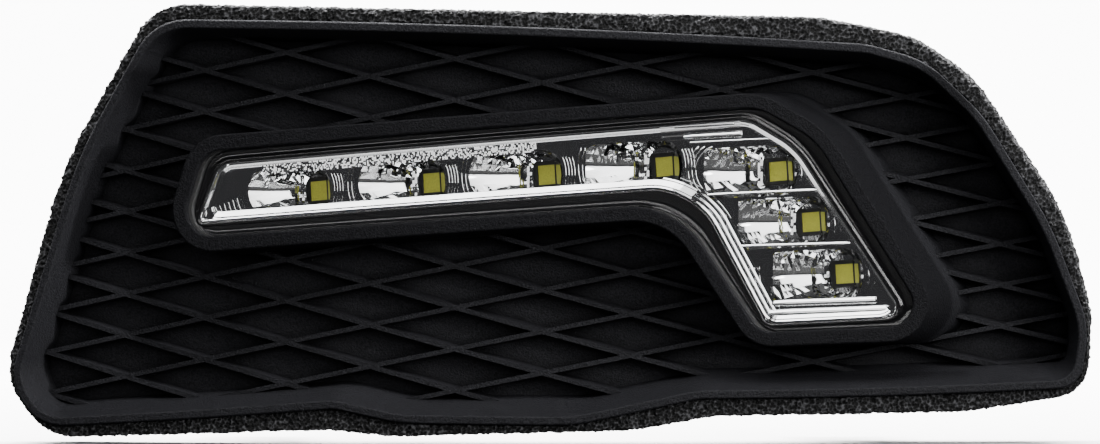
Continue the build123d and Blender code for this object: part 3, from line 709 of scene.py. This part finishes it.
class RUNNINGLIGHT_OT_reflector(bpy.types.Operator):
    """Make the bright reflector's faceted bowls, flutes and borders"""

    bl_idname = "running_light.reflector"
    bl_label = "Reflector"

    def execute(self, context):
        settings = context.scene.running_light_lamp
        chrome = plain_gloss("reflector_chrome", settings.chrome[:], 0.045, metallic=1.0)
        dress("reflector", chrome)
        self.bowls(settings, chrome)
        self.crescents(chrome)
        self.flutes(settings, chrome)
        self.bars(chrome)
        self.speckle(chrome)
        self.border(chrome)
        return {"FINISHED"}

    def bowls(self, settings, chrome):
        """Lines every bowl with a faceted shell."""
        chance = random.Random(7)
        whole = bmesh.new()
        for index in range(len(LEDS)):
            bm = bmesh.new()
            focus, half = (size * MM for size in BOWLS[index])
            verts = []
            for step in range(BOWL_RINGS + 1):
                reach = BOWL_START + BOWL_REACH * step / BOWL_RINGS
                verts.append(bm.verts.new((2 * math.sqrt(focus * (reach + focus)) - BOWL_GAP, -reach, 0.0)))
            edges = [bm.edges.new(pair) for pair in zip(verts, verts[1:])]
            bmesh.ops.spin(
                bm, geom=verts + edges, cent=(0, 0, 0), axis=(0, 1, 0), angle=math.tau,
                steps=settings.turns, use_merge=True)
            for vert in bm.verts:
                if vert.co.z > BAND_HIGH or vert.co.z < BAND_LOW:
                    out = Vector((vert.co.x, 0.0, vert.co.z)).normalized()
                    vert.co -= out * chance.uniform(0.0, settings.facet)
            for face in bm.faces:
                face.smooth = BAND_LOW < face.calc_center_median().z < BAND_HIGH
            for side in (-1, 1):
                bmesh.ops.bisect_plane(
                    bm, geom=bm.verts[:] + bm.edges[:] + bm.faces[:], plane_co=(0, 0, side * half),
                    plane_no=(0, 0, side), clear_outer=True)
            bmesh.ops.transform(bm, matrix=led_frame(index), verts=bm.verts)
            x, z = LEDS[index]
            middle = lamp_point((x + MOUTH_MIDDLE) * MM, z * MM, PLATE_FRONT * MM)
            ahead = lamp_point((x + MOUTH_MIDDLE + MOUTH_HALF) * MM, z * MM, PLATE_FRONT * MM)
            behind = lamp_point((x + MOUTH_MIDDLE - MOUTH_HALF) * MM, z * MM, PLATE_FRONT * MM)
            along = (ahead - behind).normalized()
            bmesh.ops.bisect_plane(
                bm, geom=bm.verts[:] + bm.edges[:] + bm.faces[:], plane_co=middle,
                plane_no=Vector((along.y, -along.x, 0.0)), clear_outer=True)
            join(whole, bm)
        finish_piece("reflector_bowls", whole, chrome, smooth=False)

    def crescents(self, chrome):
        """Lines the outboard side of every bowl, where its light source shows again."""
        whole = bmesh.new()
        for index, (focus, half) in enumerate(BOWLS):
            bm = bmesh.new()
            bmesh.ops.create_grid(bm, x_segments=6, y_segments=16, size=1.0)
            wide = 1.0 if index < ROW_COUNT else LEG_CRESCENT
            for vert in bm.verts:
                up = vert.co.y
                swell = (vert.co.x + 1) / 2 * (1 - CRESCENT_TIP * up * up) * wide
                side, depth = Vector(CRESCENT_START) + Vector(CRESCENT_REACH) * swell
                vert.co = Vector((side, depth, CRESCENT_SHARE * half * up)) * MM
            bmesh.ops.transform(bm, matrix=led_frame(index), verts=bm.verts)
            join(whole, bm)
        finish_piece("reflector_crescents", whole, chrome)

    def flutes(self, settings, chrome):
        """Lays the curved flutes on the plate between the bowls."""
        bm = bmesh.new()
        for sources, (side, up), radii, half_height, middle, share in FLUTES:
            for index in sources:
                x, z = LEDS[index]
                for radius in radii:
                    self.arc(bm, x + side, z + up, radius, half_height, middle, settings.flute * share)
        to_lamp(bm)
        finish_piece("reflector_flutes", bm, chrome)

    def arc(self, bm, x, z, radius, half_height, middle, thickness):
        """Sweeps one round flute along an arc about a point of the plate."""
        cent = Vector((x * MM, PLATE_FRONT * MM + thickness * 0.5, z * MM))
        half = math.asin(half_height / radius)
        ring = bmesh.ops.create_circle(bm, cap_ends=True, radius=thickness, segments=10)["verts"]
        bmesh.ops.translate(bm, vec=cent + Vector((radius * MM, 0, 0)), verts=ring)
        bmesh.ops.rotate(bm, verts=ring, cent=cent, matrix=Matrix.Rotation(middle - half, 3, "Y"))
        face = ring[0].link_faces[0]
        bmesh.ops.spin(
            bm, geom=ring + face.edges[:] + [face], cent=cent, axis=(0, 1, 0), angle=2 * half, steps=10)

    def bars(self, chrome):
        """Lays the straight bars and the ridges between the bowls of the leg."""
        bm = bmesh.new()
        for (x0, z0), (x1, z1), width, lean in BARS:
            length = math.hypot(x1 - x0, z1 - z0)
            bar = bmesh.new()
            bmesh.ops.create_cube(bar, size=MM)
            bmesh.ops.scale(bar, vec=(length, BAR_DEPTH * width, width), verts=bar.verts)
            bmesh.ops.bevel(
                bar, geom=bar.edges[:], offset=BAR_ROUNDING * width * MM, offset_type="OFFSET", segments=3,
                profile=0.5, affect="EDGES", material=-1)
            bmesh.ops.rotate(bar, verts=bar.verts, cent=(0, 0, 0), matrix=Matrix.Rotation(-lean, 3, "X"))
            cuts = [edge for edge in bar.edges if edge.calc_length() > 0.7 * length * MM]
            bmesh.ops.subdivide_edges(bar, edges=cuts, cuts=6, use_grid_fill=True)
            tilt = Matrix.Rotation(-math.atan2(z1 - z0, x1 - x0), 4, "Y")
            place = Matrix.Translation(Vector(((x0 + x1) / 2, PLATE_FRONT, (z0 + z1) / 2)) * MM)
            bmesh.ops.transform(bar, matrix=place @ tilt, verts=bar.verts)
            join(bm, bar)
        to_lamp(bm)
        finish_piece("reflector_bars", bm, chrome)

    def speckle(self, chrome):
        """Lays the strip of fine facets under the top edge and a ridge beside each light source."""
        chance = random.Random(11)
        bm = bmesh.new()
        mosaic(bm, chance, *STRIP_FACETS, *STRIP_SIZE, FRONT_LEAN)
        slope = Matrix.Rotation(-math.atan(STRIP_SLOPE), 3, "Y")
        bmesh.ops.rotate(bm, verts=bm.verts, cent=(0, 0, 0), matrix=slope)
        bmesh.ops.translate(bm, vec=Vector(STRIP_PLACE) * MM, verts=bm.verts)
        for x, z in LEDS:
            ridge = bmesh.new()
            mosaic(ridge, chance, *RIDGE_FACETS, *RIDGE_SIZE, FRONT_LEAN)
            place = Vector((x, 0.0, z)) + Vector(RIDGE_OFFSET)
            bmesh.ops.translate(ridge, vec=place * MM, verts=ridge.verts)
            join(bm, ridge)
        to_lamp(bm)
        finish_piece("reflector_speckle", bm, chrome, smooth=False)

    def border(self, chrome):
        """Runs the thin edge round the plate, the shelf along its lower sides and the crown along its top."""
        bm = bmesh.new()
        stepped_ring(bm, CHROME, EDGE_DEPTH, EDGE_STEPS)
        to_lamp(bm)
        finish_piece("reflector_border", bm, chrome, smooth=False)
        soft = [(x, z, max(rounding, SOFT_ROUNDING)) for x, z, rounding in CHROME]
        bm = front_ring(grown(soft, -SHELF_INSET), SHELF_DEPTH, SHELF_STEPS)
        away = []
        for face in bm.faces:
            least = SHELF_END_UP if face.calc_center_median().x < SHELF_END_X else SHELF_UP
            if face.normal.z < least or face.normal.x > SHELF_SIDE:
                away.append(face)
        bmesh.ops.delete(bm, geom=away, context="FACES")
        legs = front_ring(grown(soft, -SHELF_INSET), LEG_DEPTH, LEG_STEPS)
        low, high = LEG_SPAN
        away = [
            face for face in legs.faces
            if face.normal.x < LEG_SIDE or not low < face.calc_center_median().x < high]
        bmesh.ops.delete(legs, geom=away, context="FACES")
        join(bm, legs)
        to_lamp(bm)
        finish_piece("reflector_shelf", bm, chrome, smooth=False)
        bm = front_ring(grown(soft, -CROWN_INSET), CROWN_DEPTH, CROWN_STEPS)
        bmesh.ops.delete(bm, geom=[face for face in bm.faces if face.normal.z < CROWN_UP], context="FACES")
        to_lamp(bm)
        finish_piece("reflector_crown", bm, chrome, smooth=False)


class RUNNINGLIGHT_OT_sources(bpy.types.Operator):
    """Dress the light sources and their boards and make the dark frames round them"""

    bl_idname = "running_light.sources"
    bl_label = "Light Sources"

    def execute(self, context):
        settings = context.scene.running_light_lamp
        phosphor = grained_plastic("phosphor_yellow", settings.phosphor[:], 2500.0, 0.5, lift=1.25, bump=0.1)
        body = grained_plastic("led_dark", (0.015, 0.015, 0.014, 1.0), 2000.0, 0.4)
        board = grained_plastic("board_white", (0.55, 0.55, 0.53, 1.0), 2000.0, 0.45, lift=1.1, bump=0.05)
        for index in range(len(LEDS)):
            dress(f"led_phosphor_{index + 1}", phosphor)
            dress(f"led_body_{index + 1}", body)
            dress(f"led_board_{index + 1}", board)
        bm = bmesh.new()
        for index in range(len(LEDS)):
            for x0, x1, z0, z1 in WINDOW_BARS:
                bar = bmesh.new()
                bmesh.ops.create_cube(bar, size=MM)
                bmesh.ops.scale(bar, vec=(x1 - x0, WINDOW_DEPTH, z1 - z0), verts=bar.verts)
                middle = Vector(((x0 + x1) / 2, WINDOW_PLACE, (z0 + z1) / 2))
                bmesh.ops.translate(bar, vec=middle * MM, verts=bar.verts)
                bmesh.ops.transform(bar, matrix=led_frame(index), verts=bar.verts)
                join(bm, bar)
        finish_piece("window_frames", bm, body, smooth=False)
        return {"FINISHED"}


class RUNNINGLIGHT_OT_rear(bpy.types.Operator):
    """Dress the housing, the heat sink, the inlet and what is inside"""

    bl_idname = "running_light.rear"
    bl_label = "Rear Pieces"

    def execute(self, context):
        cast = grained_plastic("sink_cast", (0.42, 0.43, 0.44, 1.0), 1400.0, 0.45, lift=1.15, bump=0.3)
        cast.node_tree.nodes["Principled BSDF"].inputs["Metallic"].default_value = 1.0
        steel = plain_gloss("screw_steel", (0.5, 0.5, 0.51, 1.0), 0.3, metallic=1.0)
        black = grained_plastic("component_black", (0.015, 0.015, 0.016, 1.0), 1800.0, 0.45)
        finishes = {
            "lamp_housing": grained_plastic("housing_black", (0.014, 0.014, 0.015, 1.0), 1600.0, 0.42),
            "heat_sink": cast,
            "board_screws": steel,
            "lamp_screws": steel,
            "driver_screws": steel,
            "vent_plug": grained_plastic("vent_plastic", (0.05, 0.05, 0.053, 1.0), 1500.0, 0.5),
            "inlet_gasket": grained_plastic("gasket_rubber", (0.03, 0.03, 0.032, 1.0), 900.0, 0.75),
            "inlet_socket": black,
            "inlet_pins": plain_gloss("pin_brass", (0.75, 0.6, 0.3, 1.0), 0.25, metallic=1.0),
            "driver_board": grained_plastic("board_green", (0.012, 0.09, 0.03, 1.0), 1200.0, 0.4),
            "driver_coil": grained_plastic("coil_dark", (0.03, 0.028, 0.026, 1.0), 1500.0, 0.6),
            "driver_capacitor": plain_gloss("capacitor_silver", (0.7, 0.7, 0.71, 1.0), 0.25, metallic=1.0),
            "driver_chip": black,
            "driver_diode": black,
        }
        for node, material in finishes.items():
            dress(node, material)
        return {"FINISHED"}


class RUNNINGLIGHT_OT_stage(bpy.types.Operator):
    """Set the floor, the backdrop, the lights and the camera"""

    bl_idname = "running_light.stage"
    bl_label = "Stage"

    def execute(self, context):
        settings = context.scene.running_light_stage
        self.sweep(settings)
        self.lights()
        data = bpy.data.cameras.new("photo_camera")
        data.sensor_width = 36.0
        data.lens = data.sensor_width * settings.distance / settings.width
        camera = bpy.data.objects.new("photo_camera", data)
        camera.location = (0.0, FACE_Y - settings.distance, 0.0)
        camera.rotation_euler = (math.pi / 2, 0.0, 0.0)
        context.scene.collection.objects.link(camera)
        context.scene.camera = camera
        return {"FINISHED"}

    def sweep(self, settings):
        """Makes the pale floor that curves up into the backdrop."""
        material, tree, shader = new_material("stage_pale")
        shader.inputs["Roughness"].default_value = 0.8
        shader.inputs["Specular IOR Level"].default_value = 0.0
        seen = tree.nodes.new("ShaderNodeMix")
        seen.data_type = "RGBA"
        seen.inputs["A"].default_value = [part * UNSEEN_SHARE for part in settings.floor[:3]] + [1.0]
        seen.inputs["B"].default_value = settings.floor[:]
        path = tree.nodes.new("ShaderNodeLightPath")
        tree.links.new(path.outputs["Is Camera Ray"], seen.inputs["Factor"])
        tree.links.new(seen.outputs["Result"], shader.inputs["Base Color"])
        bm = bmesh.new()
        low = CAD_BOX[0][2] - FLOOR_GAP
        far = FLOOR_MIDDLE_Y + FLOOR_HALF[1] - FLOOR_GAP
        bmesh.ops.create_grid(bm, x_segments=1, y_segments=1, size=1.0)
        bmesh.ops.scale(bm, vec=(*FLOOR_HALF, 1.0), verts=bm.verts)
        bmesh.ops.translate(bm, vec=(0.0, FLOOR_MIDDLE_Y, low), verts=bm.verts)
        back = [edge for edge in bm.edges if all(vert.co.y > far for vert in edge.verts)]
        raised = bmesh.ops.extrude_edge_only(bm, edges=back)["geom"]
        top = [item for item in raised if isinstance(item, bmesh.types.BMVert)]
        bmesh.ops.translate(bm, vec=(0.0, 0.0, BACKDROP_HEIGHT), verts=top)
        corner = [
            edge for edge in bm.edges
            if all(vert.co.y > far and vert.co.z < low + FLOOR_GAP for vert in edge.verts)]
        bmesh.ops.bevel(
            bm, geom=corner, offset=SWEEP_RADIUS, offset_type="OFFSET", segments=12, profile=0.5,
            affect="EDGES", material=-1)
        mesh = bpy.data.meshes.new("stage_sweep")
        bm.to_mesh(mesh)
        bm.free()
        mesh.shade_smooth()
        mesh.materials.append(material)
        floor = bpy.data.objects.new("stage_sweep", mesh)
        bpy.context.scene.collection.objects.link(floor)

    def lights(self):
        """Sets the room's light and hangs the soft boxes and the spot."""
        world = bpy.data.worlds.new("studio")
        world.use_nodes = True
        world.node_tree.nodes["Background"].inputs["Color"].default_value = ROOM_LIGHT
        bpy.context.scene.world = world
        for name, place, aim, width, height, power in SOFT_BOXES:
            data = bpy.data.lights.new(name, "AREA")
            data.shape = "RECTANGLE"
            data.size = width
            data.size_y = height
            data.energy = power
            self.hang(data, place, aim)
        data = bpy.data.lights.new("wall_spot", "SPOT")
        data.energy = SPOT_WATTS
        data.spot_size = SPOT_ANGLE
        data.spot_blend = SPOT_BLEND
        data.shadow_soft_size = SPOT_RADIUS
        self.hang(data, SPOT_PLACE, SPOT_AIM)

    def hang(self, data, place, aim):
        """Puts a light at a place and turns it to its aim."""
        light = bpy.data.objects.new(data.name, data)
        light.location = place
        light.rotation_euler = (Vector(aim) - Vector(place)).to_track_quat("-Z", "Y").to_euler()
        bpy.context.scene.collection.objects.link(light)


class RUNNINGLIGHT_PT_panel(bpy.types.Panel):
    """Lists the settings and the pieces of the running light"""

    bl_idname = "RUNNINGLIGHT_PT_panel"
    bl_label = "Daytime Running Light"
    bl_space_type = "VIEW_3D"
    bl_region_type = "UI"
    bl_category = "Running Light"

    def draw(self, context):
        layout = self.layout
        for settings in GROUPS:
            group = getattr(context.scene, settings)
            box = layout.box()
            for name in group.__annotations__:
                box.prop(group, name)
        for operator in OPERATORS:
            layout.operator(operator.bl_idname)


GROUPS = {
    "running_light_insert": InsertSettings,
    "running_light_foam": FoamSettings,
    "running_light_lamp": LampSettings,
    "running_light_stage": StageSettings,
}
OPERATORS = (
    RUNNINGLIGHT_OT_stage, RUNNINGLIGHT_OT_insert, RUNNINGLIGHT_OT_foam, RUNNINGLIGHT_OT_lens,
    RUNNINGLIGHT_OT_bezel, RUNNINGLIGHT_OT_reflector, RUNNINGLIGHT_OT_sources, RUNNINGLIGHT_OT_rear,
)


def register():
    """Registers the settings, the operators and the panel."""
    for name, group in GROUPS.items():
        bpy.utils.register_class(group)
        setattr(bpy.types.Scene, name, PointerProperty(type=group))
    for operator in OPERATORS:
        bpy.utils.register_class(operator)
    bpy.utils.register_class(RUNNINGLIGHT_PT_panel)


def unregister():
    """Removes the panel, the operators and the settings."""
    bpy.utils.unregister_class(RUNNINGLIGHT_PT_panel)
    for operator in reversed(OPERATORS):
        bpy.utils.unregister_class(operator)
    for name, group in GROUPS.items():
        delattr(bpy.types.Scene, name)
        bpy.utils.unregister_class(group)


def main():
    """Makes every piece in order."""
    register()
    bpy.ops.running_light.stage()
    bpy.ops.running_light.insert()
    bpy.ops.running_light.foam()
    bpy.ops.running_light.lens()
    bpy.ops.running_light.bezel()
    bpy.ops.running_light.reflector()
    bpy.ops.running_light.sources()
    bpy.ops.running_light.rear()


if __name__ == "__main__":
    main()
